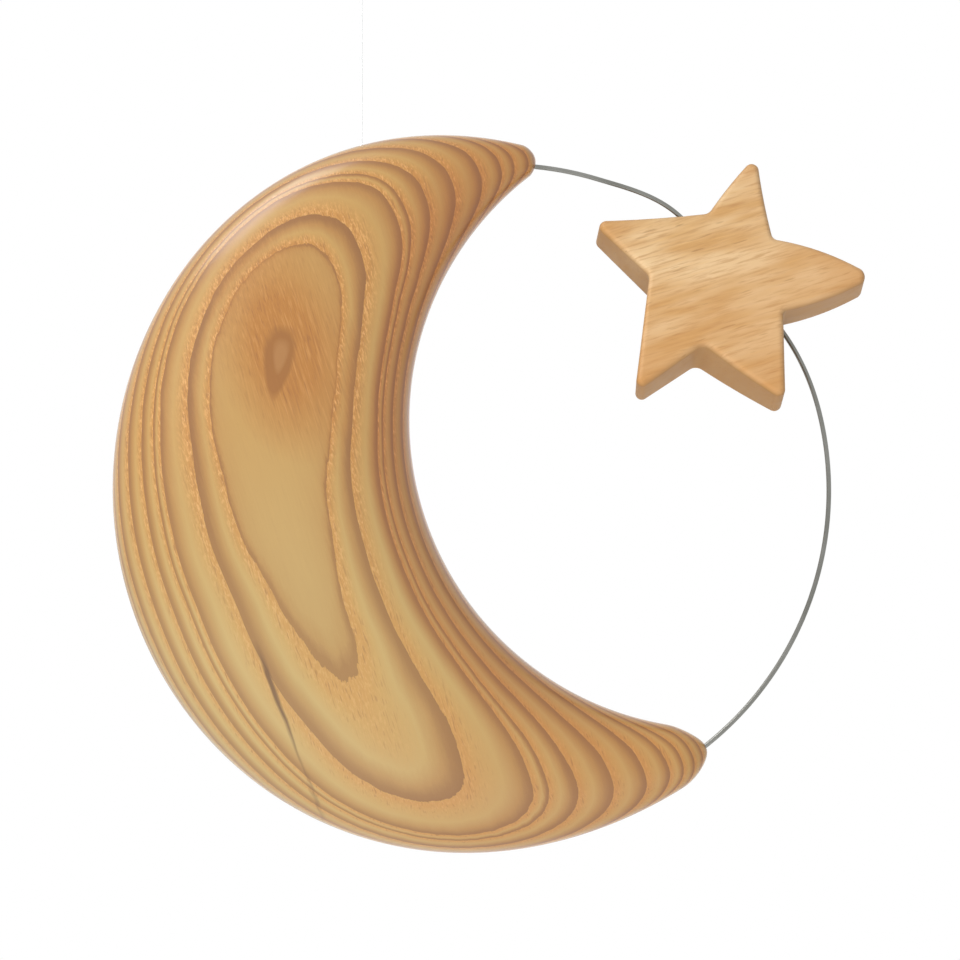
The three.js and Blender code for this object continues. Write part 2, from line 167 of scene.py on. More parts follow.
def clear_nylon():
    material, tree, shader = new_material("clear_nylon")
    feed(tree, shader.inputs["Base Color"], nylon_colour)
    feed(tree, shader.inputs["IOR"], nylon_refraction)
    feed(tree, shader.inputs["Transmission Weight"], nylon_clearness)
    streak = noise(tree, turned_place(tree, stretch=nylon_streak_stretch), nylon_streak_scale)
    finish_surface(tree, shader, streak, nylon_roughness, streak, nylon_relief)
    return material


def put(name, data, body, slot, material, *replaced):
    # Puts a piece on its body, in its material, in place of the plain pieces named last.
    piece = bpy.data.objects.new(name, data)
    bpy.context.scene.collection.objects.link(piece)
    data.materials.append(material)
    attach(piece, body)
    if replaced:
        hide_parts(*replaced)
    return piece


def new_line_curve(name):
    curve = bpy.data.curves.new(name, "CURVE")
    curve.dimensions = "3D"
    curve.bevel_depth = line_radius
    curve.bevel_resolution = line_roundness
    curve.use_fill_caps = True
    return curve


nylon = clear_nylon()

line_curve = new_line_curve("nylon_line")
line_spline = line_curve.splines.new("POLY")
line_spline.points.add(line_points - 1)
for index, point in enumerate(line_spline.points):
    height = line_bottom + (line_top - line_bottom) * index / (line_points - 1)
    point.co = (0, 0, height, 1)
line = put("nylon_line", line_curve, "line", "clear_nylon", nylon, "hanging_line")

# The loop goes up one leg, over the arch that a hook bears on, and down the other leg.
loop_curve = new_line_curve("nylon_loop")
loop_spline = loop_curve.splines.new("BEZIER")
loop_spline.resolution_u = loop_steps
arch_middle = line_radius - loop_arch
arch_handle = 4 / 3 * (math.sqrt(2) - 1) * loop_arch
loop_route = [
    (-loop_leg_spacing / 2, loop_bottom, (0, loop_shoulder)),
    (-loop_arch, arch_middle, (0, arch_handle)),
    (0, line_radius, (arch_handle, 0)),
    (loop_arch, arch_middle, (0, -arch_handle)),
    (loop_leg_spacing / 2, loop_bottom, (0, -loop_shoulder)),
]
loop_spline.bezier_points.add(len(loop_route) - 1)
for point, (across, height, handle) in zip(loop_spline.bezier_points, loop_route):
    place = Vector((across, 0, height))
    ahead = Vector((handle[0], 0, handle[1]))
    point.co = place
    point.handle_left_type = "FREE"
    point.handle_right_type = "FREE"
    point.handle_left = place - ahead
    point.handle_right = place + ahead
first_leg_top = loop_spline.bezier_points[1]
second_leg_top = loop_spline.bezier_points[3]
first_leg_top.handle_left = (-loop_arch, 0, arch_middle - loop_shoulder)
second_leg_top.handle_right = (loop_arch, 0, arch_middle - loop_shoulder)
loop = put("nylon_loop", loop_curve, "loop", "clear_nylon", nylon, "hanging_loop")

# The knot is the same line wrapped round itself, over a core where the strands run through.
knot_shape = bmesh.new()
wrap_start = Matrix.Translation((knot_wrap_radius, 0, knot_middle - knot_wraps * knot_pitch / 2))
bmesh.ops.create_circle(
    knot_shape, segments=knot_strand_sides, radius=knot_strand_radius, cap_ends=True,
    matrix=wrap_start @ Matrix.Rotation(math.pi / 2, 4, "X"))
bmesh.ops.spin(
    knot_shape, geom=knot_shape.verts[:] + knot_shape.edges[:] + knot_shape.faces[:],
    cent=(0, 0, 0), axis=(0, 0, 1), angle=knot_wraps * 2 * math.pi,
    steps=knot_wraps * knot_wrap_steps, dvec=(0, 0, knot_pitch / knot_wrap_steps))
bmesh.ops.create_cone(
    knot_shape, cap_ends=True, segments=knot_core_sides, radius1=knot_core_radius,
    radius2=knot_core_radius, depth=knot_core_length, matrix=Matrix.Translation((0, 0, knot_middle)))
bmesh.ops.recalc_face_normals(knot_shape, faces=knot_shape.faces)
knot_mesh = bpy.data.meshes.new("nylon_knot")
knot_shape.to_mesh(knot_mesh)
knot_shape.free()
knot_mesh.shade_smooth()
knot_mesh.set_sharp_from_angle(angle=knot_sharp_angle)
knot = put("nylon_knot", knot_mesh, "knot", "clear_nylon", nylon, "loop_knot")


# Moon. It is one piece of ash, sawn to a crescent, carved to a pillow that is thickest where
# the crescent is widest, sanded smooth by hand and lightly oiled. The wood was cut so that its
# growth rings nest round an eye in the front face and cross both horns.
outer_radius = 75.9 * mm
outer_oval = 1.9 * mm
outer_oval_angle = math.radians(158.7)
outer_lobe = 1.7 * mm
outer_lobe_angle = math.radians(117)
outer_squareness = 0.4 * mm
outer_square_angle = math.radians(3)
hollow_radius = 64.5 * mm
hollow_distance = 53 * mm
hollow_angle = math.radians(17.4)
upper_horn_width = 4.8 * mm
upper_nose_angle = math.radians(1.8)
lower_horn_width = 8.7 * mm
lower_nose_angle = math.radians(6.1)
moon_thickness = 26 * mm
thickness_power = 0.66
pillow_power = 2.3
line_hole_left_of_middle = 24 * mm
line_hole_radius = 1.2 * mm
line_hole_depth = 12 * mm
drill_run_out = 3 * mm
nose_stations = 14
moon_stations = 150
section_points = 112
walk_steps = 40
bore_sides = 48
moon_sharp_angle = math.radians(40)


def direction_at(angle):
    return Vector((math.cos(angle), 0, math.sin(angle)))


def outer_edge_radius(angle):
    oval = outer_oval * math.cos(2 * (angle - outer_oval_angle))
    lobe = outer_lobe * math.cos(3 * (angle - outer_lobe_angle))
    square = outer_squareness * math.cos(4 * (angle - outer_square_angle))
    return outer_radius + oval + lobe + square


def outer_edge_above(left):
    # How high the outer edge stands over a place so far left of the ring's middle.
    angle = math.pi / 2
    for _ in range(walk_steps):
        angle = math.acos(-left / outer_edge_radius(angle))
    return outer_edge_radius(angle) * math.sin(angle)


ring_middle = Vector((
    line_hole_left_of_middle, 0, line_bottom - outer_edge_above(line_hole_left_of_middle)))
hollow_middle = direction_at(hollow_angle) * hollow_distance
station_middle = hollow_middle / 2


def crescent_at(angle):
    # The middle of the crescent's breadth on a ray from the station middle, and half the breadth.
    direction = direction_at(angle)
    offset = station_middle - hollow_middle
    along = offset.dot(direction)
    inner = -along + math.sqrt(along ** 2 - offset.length_squared + hollow_radius ** 2)
    outer = outer_radius
    for _ in range(walk_steps):
        point = station_middle + direction * outer
        outer += outer_edge_radius(math.atan2(point.z, point.x)) - point.length
    return station_middle + direction * (inner + outer) / 2, (outer - inner) / 2


widest_angle = hollow_angle + math.pi
widest_half_width = crescent_at(widest_angle)[1]


def angle_of_width(width, beyond):
    # Where the crescent narrows to a width, between its widest place and one beyond the horn.
    wide = widest_angle
    narrow = beyond
    for _ in range(walk_steps):
        middle = (wide + narrow) / 2
        if crescent_at(middle)[1] * 2 > width:
            wide = middle
        else:
            narrow = middle
    return narrow


upper_horn_angle = angle_of_width(upper_horn_width, hollow_angle)
lower_horn_angle = angle_of_width(lower_horn_width, hollow_angle + 2 * math.pi)


def swelled(value):
    # Takes a coordinate of a circle to that of a pillow, which is fuller at the corners.
    return math.copysign(abs(value) ** (2 / pillow_power), value)


def moon_section(angle, scale):
    # One slice through the crescent, on a ray from the station middle.
    middle, half_width = crescent_at(angle)
    half_thickness = moon_thickness / 2 * (half_width / widest_half_width) ** thickness_power
    section = []
    for index in range(section_points):
        turn = index / section_points * 2 * math.pi
        point = middle + direction_at(angle) * swelled(math.cos(turn)) * half_width * scale
        point.y = swelled(math.sin(turn)) * half_thickness * scale
        section.append(ring_middle + point)
    return section


def nose_sections(horn_angle, nose_angle):
    # Slices that grow from a horn's end to their full size, over its rounded nose.
    sections = []
    for index in range(nose_stations):
        turn = (index + 1) / nose_stations * math.pi / 2
        angle = horn_angle + nose_angle * (1 - math.cos(turn))
        sections.append(moon_section(angle, math.sin(turn)))
    return sections


def moon_sections():
    sections = nose_sections(upper_horn_angle, upper_nose_angle)
    first = upper_horn_angle + upper_nose_angle
    last = lower_horn_angle - lower_nose_angle
    for station in range(1, moon_stations):
        sections.append(moon_section(first + (last - first) * station / moon_stations, 1))
    return sections + nose_sections(lower_horn_angle, -lower_nose_angle)[::-1]


def drawn_through(name, sections):
    # A circle is extruded from section to section, and each end is closed.
    shape = bmesh.new()
    ring = bmesh.ops.create_circle(shape, segments=len(sections[0]), radius=mm)["verts"]
    for vertex, point in zip(ring, sections[0]):
        vertex.co = point
    edges = shape.edges[:]
    for section in sections[1:]:
        step = bmesh.ops.extrude_edge_only(shape, edges=edges)["geom"]
        ring = [element for element in step if isinstance(element, bmesh.types.BMVert)]
        edges = [element for element in step if isinstance(element, bmesh.types.BMEdge)]
        for vertex, point in zip(ring, section):
            vertex.co = point
    bmesh.ops.holes_fill(shape, edges=shape.edges)
    bmesh.ops.recalc_face_normals(shape, faces=shape.faces)
    mesh = bpy.data.meshes.new(name)
    shape.to_mesh(mesh)
    shape.free()
    mesh.shade_smooth()
    return mesh


def drill(mesh, holes, sharp_angle):
    # Takes round holes, each from a point to a point, out of a mesh.
    bits = bmesh.new()
    for start, end, radius in holes:
        way = end - start
        turn = way.to_track_quat("Z", "Y").to_matrix().to_4x4()
        bmesh.ops.create_cone(
            bits, cap_ends=True, segments=bore_sides, radius1=radius, radius2=radius,
            depth=way.length, matrix=Matrix.Translation((start + end) / 2) @ turn)
    bit_mesh = bpy.data.meshes.new("bits")
    bits.to_mesh(bit_mesh)
    bits.free()
    body = bpy.data.objects.new("drilled", mesh)
    tool = bpy.data.objects.new("bits", bit_mesh)
    for item in (body, tool):
        bpy.context.scene.collection.objects.link(item)
    cut = body.modifiers.new("holes", "BOOLEAN")
    cut.operation = "DIFFERENCE"
    cut.solver = "EXACT"
    cut.object = tool
    seen = body.evaluated_get(bpy.context.evaluated_depsgraph_get())
    drilled = bpy.data.meshes.new_from_object(seen)
    for item in (body, tool):
        bpy.data.objects.remove(item)
    drilled.set_sharp_from_angle(angle=sharp_angle)
    return drilled


# The wire's two holes run straight on from its bow, and the line's hole goes straight down.
wire_radius = 0.5 * mm
wire_bow_rise = 42.4 * mm
wire_seat_depth = 11 * mm
wire_hole_bottom_gap = 0.3 * mm
wire_clearance = 0.12 * mm
upper_seat_inset = 1.7 * mm
lower_seat_inset = 0.4 * mm


def wire_seat(horn_angle, inset):
    # Where the wire enters a horn's end, a little inwards of the middle of its breadth.
    return ring_middle + crescent_at(horn_angle)[0] - direction_at(horn_angle) * inset


upper_seat = wire_seat(upper_horn_angle, upper_seat_inset)
lower_seat = wire_seat(lower_horn_angle, lower_seat_inset)
chord = lower_seat - upper_seat
wire_bow_radius = (chord.length_squared / 4 + wire_bow_rise ** 2) / (2 * wire_bow_rise)
towards_moon = Vector((chord.z, 0, -chord.x)).normalized()
bow_middle = (upper_seat + lower_seat) / 2 + towards_moon * (wire_bow_radius - wire_bow_rise)


def angle_on_bow(point):
    return math.atan2(point.z - bow_middle.z, point.x - bow_middle.x)


upper_seat_angle = angle_on_bow(upper_seat)
lower_seat_angle = angle_on_bow(lower_seat)
upper_seat_direction = direction_at(upper_seat_angle + math.pi / 2)
lower_seat_direction = direction_at(lower_seat_angle - math.pi / 2)


def wire_hole(seat, direction):
    bottom = seat + direction * (wire_seat_depth + wire_hole_bottom_gap)
    return seat - direction * drill_run_out, bottom, wire_radius + wire_clearance


line_mouth = Vector((0, 0, line_bottom))
down = Vector((0, 0, -1))
moon_mesh = drill(drawn_through("moon", moon_sections()), [
    wire_hole(upper_seat, upper_seat_direction),
    wire_hole(lower_seat, lower_seat_direction),
    (line_mouth - down * drill_run_out, line_mouth + down * line_hole_depth, line_hole_radius),
], moon_sharp_angle)

# Growth rings. They are sheets in the wood, and each is where the depth from the front face and
# a lean, a bulge, a twist and a sway over the moon's height and breadth come to one value. The
# ring ends are those values, from the eye outwards.
grain_middle = (5 * mm, 0, -130 * mm)
grain_reach = 60 * mm
grain_lean = (-3.6, 1.0)
grain_bulge = (-8.6, -5.1, 1.85)
grain_sway = (-1.25, -1.5, 0.85, -1.2)
grain_end_droop = -0.7
ring_start = (14.2, 0.4)
ring_pale_until = (12.62, 0.58)
ring_ends = (12.45, 11.35, 9.15, 8.45, 6.95, 4.65, 1.95, -0.3, -1.85, -3.7, -5.8, -8.1)
ring_contrasts = (0.4, 1.0, 0.7, 0.7, 0.7, 0.6, 0.8, 0.9, 0.8, 0.8, 0.7, 0.7)
dip_middle = (1 * mm, -9 * mm, -175 * mm)
dip_reach = 17 * mm
dip_depth = 0.2


def colour(red, green, blue):
    # A screen colour as the shader wants it.
    return tuple(((part / 255 + 0.055) / 1.055) ** 2.4 for part in (red, green, blue))


early_wood = colour(204, 155, 83)
golden_wood = colour(203, 163, 94)
pale_wood = colour(202, 171, 107)
mid_wood = colour(187, 147, 84)
late_wood = colour(169, 125, 69)
ring_line = colour(142, 101, 51)
ring_shades = [
    (0.00, early_wood), (0.10, early_wood), (0.24, golden_wood), (0.46, pale_wood),
    (0.68, mid_wood), (0.88, late_wood), (1.00, late_wood)]

# Grain. Fibres, grit and pores are drawn out along it, and so is the band that frays the rings.
# A span goes from where something begins to where it is full. Two more numbers in it are the
# shares at those places, which are otherwise none and all.
grain_way = (0, math.radians(-17), 0)
fibre_noise = {
    "middle": grain_middle, "stretch": (1, 1, 18), "scale": 2900, "detail": 3, "roughness": 0.6}
grit_noise = {"middle": (0.3, 0.1, 0.2), "stretch": (1, 1, 3.5), "scale": 3000, "roughness": 0.6}
band_noise = {"stretch": (1, 1, 10), "scale": 420}
pore_noise = {"middle": (0.7, 0.4, 0.1), "stretch": (1, 1, 10), "scale": 3300, "detail": 0}
sweep_noise = {"scale": 38, "detail": 1}
fibre_fray = 0.08
grit_fray = 0.1
band_fray = 0.26
sweep_waver = 0.4
pale_middle = (-18 * mm, 0, -168 * mm)
fray_span = (20 * mm, 50 * mm, 0.3, 1.0)
line_span = (0.7, 0.98)
line_strength = 0.65
strong_line_span = (25 * mm, 60 * mm, 0.45, 1.0)
early_span = (0.42, 0.12)
grit_middle = (-25 * mm, -12 * mm, -85 * mm)
grit_stretch = (1, 0.4, 1)
gritty_span = (80 * mm, 35 * mm, 0.25, 1.0)
fibre_span = (0, 1, 0.12, 1)
golden_fibre_span = (0.52, 0.72, 0, 0.35)
brown_fibre_span = (0.47, 0.3, 0, 0.45)
golden_speck_span = (0.5, 0.66, 0, 0.65)
brown_pore_span = (0.66, 0.76, 0, 0.45)
glint_gold = colour(246, 206, 144)
pore_brown = colour(150, 100, 52)
grit_relief = 0.6
moon_relief = 0.02 * mm
moon_roughness = (0.42, 0.56)
moon_coat = 1.0
moon_coat_roughness = 0.23

# The eye, which is a brown egg with a greyer core and an orange halo, and the drying check.
eye_middle = (-16.9 * mm, 0, -101.7 * mm)
eye_stretch = (2.8 * mm, 1, 7 * mm)
eye_way = (0, math.radians(8), 0)
eye_taper = 0.4
eye_waver = 0.6
eye_span = (1.35, 0.75, 0, 0.9)
eye_brown = colour(160, 110, 42)
core_middle = (-16.5 * mm, 0, -100.4 * mm)
core_stretch = (1.4 * mm, 1, 3.4 * mm)
core_span = (1.4, 0.4, 0, 0.8)
eye_grey = colour(182, 138, 82)
halo_middle = (-15.5 * mm, 0, -98 * mm)
halo_stretch = (0.6, 50, 1)
halo_span = (26 * mm, 10 * mm)
halo_strength = 0.9
halo_earliness = 0.8
heart_orange = colour(188, 132, 52)
check_middle = (-14 * mm, 0, -179.5 * mm)
check_way = (0, math.radians(-20.7), 0)
check_bend = 2.2 * mm
check_width_span = (0.6 * mm, 0.1 * mm)
check_length_span = (22 * mm, 15 * mm)
check_upwards_span = (-6 * mm, 5 * mm, 0.35, 0.85)
check_depth_span = (0, -2 * mm)
check_brown = colour(98, 64, 32)

# The shades, which multiply the colours above. The two towards the horns and along the inner edge
# are partly browner wood and partly painted shade.
warm_side = colour(250, 231, 206)
warm_stretch = (1.6, 1, 1)
warm_span = (15 * mm, 55 * mm)
horn_brown_and_shade = colour(249, 243, 235)
horn_shade_span = (2 * mm, 30 * mm)
inner_edge_brown_and_shade = colour(242, 222, 203)
inner_edge_stretch = (1, 50, 1)
inner_edge_span = (84 * mm, 72 * mm)
inside_middle = (8 * mm, 0, -120 * mm)
inside_span = (85 * mm, 50 * mm)
inside_ring_span = (2.5, 2.8)


def mixed(tree, share, first, second, way="MIX"):
    # The sockets go by number, because a Mix node has one of each name for every kind of value.
    mix = tree.nodes.new("ShaderNodeMix")
    mix.data_type = "RGBA"
    mix.blend_type = way
    feed(tree, mix.inputs[0], share)
    feed(tree, mix.inputs[6], first)
    feed(tree, mix.inputs[7], second)
    return mix.outputs[2]


def ramp(tree, value, stops, way="LINEAR"):
    node = tree.nodes.new("ShaderNodeValToRGB")
    feed(tree, node.inputs["Fac"], value)
    node.color_ramp.interpolation = way
    elements = node.color_ramp.elements
    while len(elements) < len(stops):
        elements.new(1.0)
    for element, (position, shade) in zip(elements, stops):
        element.position = position
        element.color = (*shade, 1.0)
    return node.outputs["Color"]


def total(tree, *values):
    result = values[0]
    for value in values[1:]:
        result = maths(tree, "ADD", result, value)
    return result


def times(tree, *values):
    result = values[0]
    for value in values[1:]:
        result = maths(tree, "MULTIPLY", result, value)
    return result


def either_way(tree, texture, reach):
    # A noise as a waver to both sides of nought.
    return times(tree, maths(tree, "SUBTRACT", texture, noise_middle), reach)


def split_place(tree, place):
    split = tree.nodes.new("ShaderNodeSeparateXYZ")
    feed(tree, split.inputs["Vector"], place)
    return split.outputs["X"], split.outputs["Y"], split.outputs["Z"]


def distance_from(tree, middle, turn=(0, 0, 0), stretch=(1, 1, 1)):
    length = tree.nodes.new("ShaderNodeVectorMath")
    length.operation = "LENGTH"
    feed(tree, length.inputs[0], turned_place(tree, middle, turn, stretch))
    return length.outputs["Value"]


def grain_noise(tree, way, middle=(0, 0, 0), stretch=(1, 1, 1), **texture):
    return noise(tree, turned_place(tree, middle, way, stretch), **texture)


def ring_depth(tree):
    # The value that is the same all over one growth ring's sheet, in millimetres.
    x, y, z = split_place(tree, turned_place(tree, grain_middle, stretch=(grain_reach,) * 3))
    depth = times(tree, y, -grain_reach / mm)
    lean = total(tree, times(tree, x, grain_lean[0]), times(tree, z, grain_lean[1]))
    bulge = total(
        tree, times(tree, x, x, grain_bulge[0]), times(tree, x, z, grain_bulge[1]),
        times(tree, z, z, grain_bulge[2]))
    sway = total(
        tree, times(tree, x, x, x, grain_sway[0]), times(tree, x, x, z, grain_sway[1]),
        times(tree, x, z, z, grain_sway[2]), times(tree, z, z, z, grain_sway[3]))
    droop = times(tree, z, z, z, z, grain_end_droop)
    dip = spread(tree, distance_from(tree, dip_middle), dip_reach, 0, 0, -dip_depth)
    return total(tree, depth, lean, bulge, sway, droop, dip)


def ring_number(tree, depth):
    # Counts the rings from the eye outwards, with each ring's end a whole number.
    counted = [ring_start, ring_pale_until]
    counted += [(end, index + 1) for index, end in enumerate(ring_ends)]
    first, last = counted[0][0], counted[-1][0]
    curve = tree.nodes.new("ShaderNodeFloatCurve")
    share = maths(tree, "DIVIDE", maths(tree, "SUBTRACT", first, depth), first - last)
    feed(tree, curve.inputs["Value"], share)
    curve.mapping.extend = "EXTRAPOLATED"
    curve.mapping.use_clip = False
    points = curve.mapping.curves[0].points
    while len(points) < len(counted):
        points.new(0.5, 0.5)
    for point, (end, number) in zip(points, counted):
        point.location = ((first - end) / (first - last), number / len(ring_ends))
        point.handle_type = "AUTO_CLAMPED"
    curve.mapping.update()
    return times(tree, curve.outputs["Value"], len(ring_ends))


def ringed_wood(tree, number, share):
    # Each ring goes from early to late wood and ends in a line, some darker than others.
    wood = ramp(tree, share, ring_shades)
    count = len(ring_contrasts)
    contrasts = [(index / count, (contrast,) * 3) for index, contrast in enumerate(ring_contrasts)]
    contrast = ramp(tree, maths(tree, "DIVIDE", number, count), contrasts, "CONSTANT")
    strong = spread(tree, distance_from(tree, pale_middle), *strong_line_span)
    line_share = times(tree, spread(tree, share, *line_span), contrast, strong, line_strength)
    return mixed(tree, line_share, wood, ring_line)


def with_fibres(tree, wood, share, fibre, grit):
    # Round the eye the wood is more orange. Fibres show best there, and in the early wood of each
    # ring, which has golden grit and brown pores too. The relief of all these comes with it.
    halo = spread(tree, distance_from(tree, halo_middle, grain_way, halo_stretch), *halo_span)
    wood = mixed(tree, times(tree, halo, halo_strength), wood, heart_orange)
    start = spread(tree, share, *early_span)
    early = maths(tree, "ADD", start, times(tree, halo, halo_earliness), limited=True)
    gritty = spread(tree, distance_from(tree, grit_middle, stretch=grit_stretch), *gritty_span)
    shown = times(tree, spread(tree, early, *fibre_span), gritty)
    golden_fibres = times(tree, spread(tree, fibre, *golden_fibre_span), shown)
    wood = mixed(tree, golden_fibres, wood, glint_gold)
    brown_fibres = times(tree, spread(tree, fibre, *brown_fibre_span), shown)
    wood = mixed(tree, brown_fibres, wood, pore_brown)
    specks = times(tree, spread(tree, grit, *golden_speck_span), start, gritty)
    wood = mixed(tree, specks, wood, glint_gold)
    pore = grain_noise(tree, grain_way, **pore_noise)
    pores = times(tree, spread(tree, pore, *brown_pore_span), early)
    wood = mixed(tree, pores, wood, pore_brown)
    relief = total(tree, times(tree, fibre, shown), times(tree, grit, early, grit_relief))
    return wood, maths(tree, "SUBTRACT", relief, pores)


def egg_distance(tree, middle, stretch):
    # One on an egg-shaped outline seen from the front, less inside it and more outside.
    x, _, z = split_place(tree, turned_place(tree, middle, eye_way, stretch))
    narrowed = times(tree, x, maths(tree, "SUBTRACT", 1.0, times(tree, z, eye_taper)))
    return total(tree, times(tree, narrowed, narrowed), times(tree, z, z))


def with_eye(tree, wood, band):
    eye = total(tree, egg_distance(tree, eye_middle, eye_stretch), either_way(tree, band, eye_waver))
    wood = mixed(tree, spread(tree, eye, *eye_span), wood, eye_brown)
    core = egg_distance(tree, core_middle, core_stretch)
    return mixed(tree, spread(tree, core, *core_span), wood, eye_grey)


def with_check(tree, wood, band):
    # The check runs along the fibres, low down on the left of the front.
    x, y, z = split_place(tree, turned_place(tree, check_middle, check_way))
    off = maths(tree, "ABSOLUTE", maths(tree, "ADD", x, either_way(tree, band, check_bend)))
    along = maths(tree, "ABSOLUTE", z)
    check = times(
        tree, spread(tree, off, *check_width_span), spread(tree, along, *check_length_span),
        spread(tree, z, *check_upwards_span), spread(tree, y, *check_depth_span))
    return mixed(tree, check, wood, check_brown)


def with_shades(tree, wood, number):
    # The wood is palest low on the left and more orange away from there. Towards the horns it is
    # darker, and darkest in the narrow rings along the inner edge: partly browner wood, partly painted
    # shade.
    warm = spread(tree, distance_from(tree, pale_middle, stretch=warm_stretch), *warm_span)
    wood = mixed(tree, warm, wood, warm_side, "MULTIPLY")
    x, _, _ = split_place(tree, object_place(tree))
    # Partly painted shade: the right side, towards the horns, is darker and browner.
    wood = mixed(tree, spread(tree, x, *horn_shade_span), wood, horn_brown_and_shade, "MULTIPLY")
    # Partly painted shade: the narrow rings along the inner edge are darkened, as well as browner.
    from_hollow = distance_from(tree, ring_middle + hollow_middle, stretch=inner_edge_stretch)
    inside = times(
        tree, spread(tree, from_hollow, *inner_edge_span),
        spread(tree, distance_from(tree, inside_middle), *inside_span),
        spread(tree, number, *inside_ring_span))
    return mixed(tree, inside, wood, inner_edge_brown_and_shade, "MULTIPLY")


def moon_ash():
    material, tree, shader = new_material("moon_ash")
    fibre = grain_noise(tree, grain_way, **fibre_noise)
    grit = grain_noise(tree, grain_way, **grit_noise)
    band = grain_noise(tree, grain_way, **band_noise)
    sweep = noise(tree, object_place(tree), **sweep_noise)
    frayed = total(
        tree, either_way(tree, fibre, fibre_fray), either_way(tree, grit, grit_fray),
        either_way(tree, band, band_fray))
    frayed = times(tree, frayed, spread(tree, distance_from(tree, pale_middle), *fray_span))
    waver = either_way(tree, sweep, sweep_waver)
    number = ring_number(tree, total(tree, ring_depth(tree), frayed, waver))
    share = maths(tree, "FRACT", number)
    wood = ringed_wood(tree, number, share)
    wood, relief = with_fibres(tree, wood, share, fibre, grit)
    wood = with_eye(tree, wood, band)
    wood = with_check(tree, wood, band)
    wood = with_shades(tree, wood, number)
    feed(tree, shader.inputs["Base Color"], wood)
    feed(tree, shader.inputs["Coat Weight"], moon_coat)
    feed(tree, shader.inputs["Coat Roughness"], moon_coat_roughness)
    finish_surface(tree, shader, fibre, moon_roughness, relief, moon_relief)
    return material


put("carved_moon", moon_mesh, "moon", "moon_ash", moon_ash(), "moon_body")


# Wire. It is hard-drawn spring steel, one millimetre thick, sprung into a bow between the
# horns and glued in a hole in each. In the star's straight hole it lies flatter, and the star
# pushes it outwards at the hole's upper mouth and inwards at the lower one.
star_angle_on_wire = math.radians(43.5)
star_hole_half_length = 16.2 * mm
star_hole_clearance = 0.5 * mm
upper_mouth_stand_out = 0.16 * mm
lower_mouth_stand_out = -0.89 * mm
wire_ease_angle = math.radians(16)
wire_steps = 260
wire_sides = 20
wire_look_ahead = 0.002
steel_grey = (0.28, 0.28, 0.26)
tarnish_grey = (0.21, 0.21, 0.19)
tarnish_noise = {"scale": 90, "detail": 2}
tarnish_span = (0.35, 0.65)
steel_noise = {"scale": 1400, "detail": 3}
steel_roughness = (0.26, 0.42)
steel_relief = 0.01 * mm

mouth_angle = math.asin(star_hole_half_length / wire_bow_radius)
upper_mouth = bow_middle + direction_at(star_angle_on_wire + mouth_angle) * (
    wire_bow_radius + upper_mouth_stand_out)
lower_mouth = bow_middle + direction_at(star_angle_on_wire - mouth_angle) * (
    wire_bow_radius + lower_mouth_stand_out)
hole_direction = (lower_mouth - upper_mouth).normalized()
out_of_ring = Vector((-hole_direction.z, 0, hole_direction.x))
rise_in_star = 2 * (star_hole_clearance - wire_clearance)
star_hole_middle = (upper_mouth + lower_mouth) / 2 + out_of_ring * rise_in_star / 2
end_slope_in_star = math.atan(2 * rise_in_star / star_hole_half_length)
hole_tilt = math.atan((upper_mouth_stand_out - lower_mouth_stand_out) / (2 * star_hole_half_length))


def wire_point_at(angle):
    # In the star a flat bow between the hole's mouths, and beyond them easing back to the bow.
    turn = angle - star_angle_on_wire
    if abs(turn) <= mouth_angle:
        share = (1 - turn / mouth_angle) / 2
        rise = rise_in_star * 4 * share * (1 - share)
        return upper_mouth.lerp(lower_mouth, share) + out_of_ring * rise
    side = math.copysign(1, turn)
    stand_out = upper_mouth_stand_out if side > 0 else lower_mouth_stand_out
    slope = wire_bow_radius * math.tan(mouth_angle - end_slope_in_star + side * hole_tilt)
    share = min((abs(turn) - mouth_angle) / wire_ease_angle, 1)
    held = stand_out * (1 + 2 * share) + slope * wire_ease_angle * share
    return bow_middle + direction_at(angle) * (wire_bow_radius + held * (1 - share) ** 2)


def wire_path_point(share):
    bow_length = (upper_seat_angle - lower_seat_angle) * wire_bow_radius
    place = share * (bow_length + 2 * wire_seat_depth) - wire_seat_depth
    if place < 0:
        return upper_seat + upper_seat_direction * -place
    if place > bow_length:
        return lower_seat + lower_seat_direction * (place - bow_length)
    return wire_point_at(upper_seat_angle - place / wire_bow_radius)


def wire_sections():
    backwards = Vector((0, 1, 0))
    sections = []
    for step in range(wire_steps + 1):
        share = step / wire_steps
        point = wire_path_point(share)
        before = wire_path_point(max(share - wire_look_ahead, 0))
        beyond = wire_path_point(min(share + wire_look_ahead, 1))
        side = (beyond - before).normalized().cross(backwards)
        section = []
        for index in range(wire_sides):
            turn = index / wire_sides * 2 * math.pi
            off = side * math.cos(turn) + backwards * math.sin(turn)
            section.append(point + off * wire_radius)
        sections.append(section)
    return sections


def spring_steel():
    material, tree, shader = new_material("spring_steel")
    feed(tree, shader.inputs["Metallic"], 1.0)
    tarnish = spread(tree, noise(tree, object_place(tree), **tarnish_noise), *tarnish_span)
    feed(tree, shader.inputs["Base Color"], mixed(tree, tarnish, steel_grey, tarnish_grey))
    drawn = noise(tree, object_place(tree), **steel_noise)
    finish_surface(tree, shader, drawn, steel_roughness, drawn, steel_relief)
    return material


wire_mesh = drawn_through("bowed_wire", wire_sections())
put("bowed_wire", wire_mesh, "moon", "spring_steel", spring_steel(), "wire_arc")


